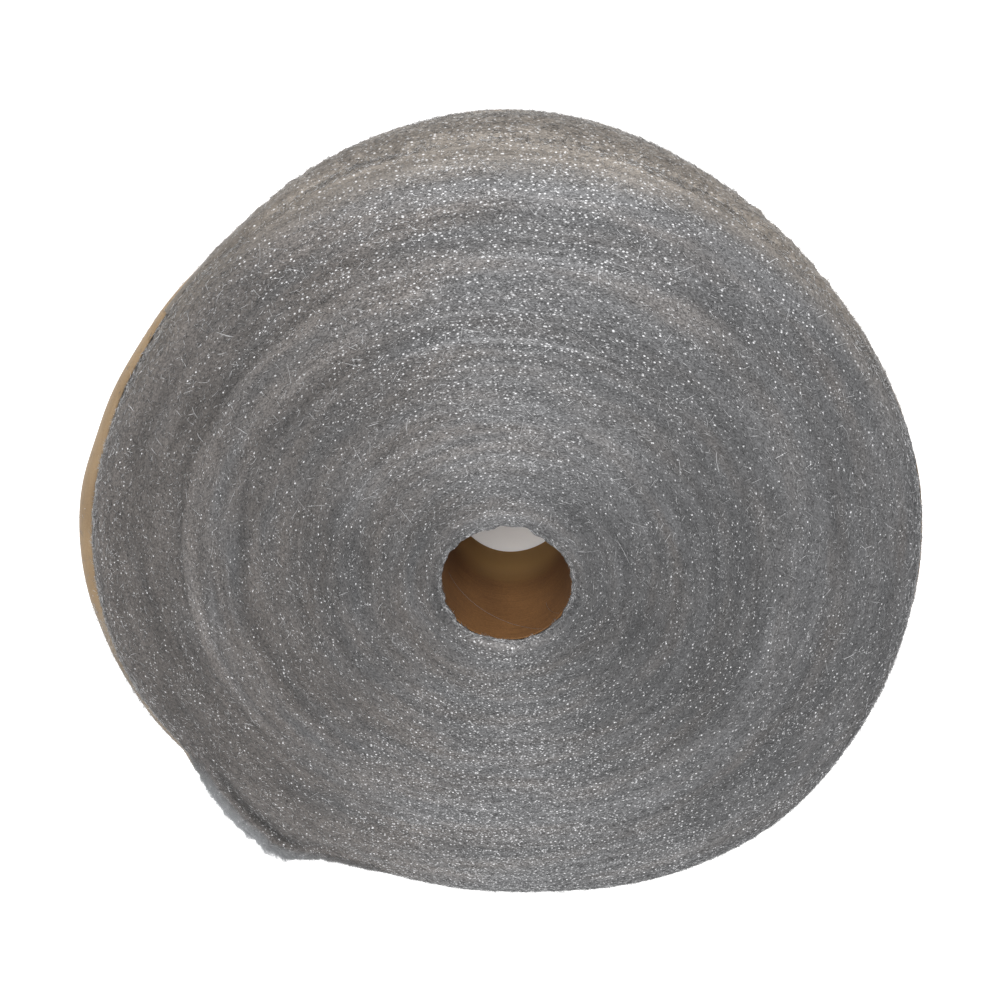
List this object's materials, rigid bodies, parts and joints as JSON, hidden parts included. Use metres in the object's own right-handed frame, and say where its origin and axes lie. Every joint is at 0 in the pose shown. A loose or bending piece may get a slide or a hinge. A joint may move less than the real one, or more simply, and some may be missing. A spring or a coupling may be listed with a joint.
{
  "type": "roll of aluminum wool",
  "caption": "Wide ribbon of metal wool wound into a thick round roll around a small paper-lined bore, with brown kraft paper around the outside and a loose fluffy end.",
  "frame": {"origin": "under the middle of the whole outline, on the surface that the roll stands on; the roll's axis stands at x = 0.0085, y = -0.0019", "axes": "+Z parallel to the roll's axis, out of the face that the picture shows; +X to the right and +Y up in the picture of that face"},
  "size_m": [0.4302, 0.4324, 0.1037],
  "materials": {
    "wool": "fine tangled strands that run along the turns, grey with small bright glints",
    "wrap_paper": "plain brown kraft paper, matt with a faint sheen",
    "liner_paper": "darker brown kraft paper in the shade of the bore"
  },
  "bodies": {
    "root": {"wound_wool": "wool", "kraft_wrap": "wrap_paper", "kraft_liner": "liner_paper"}
  },
  "joints": []
}
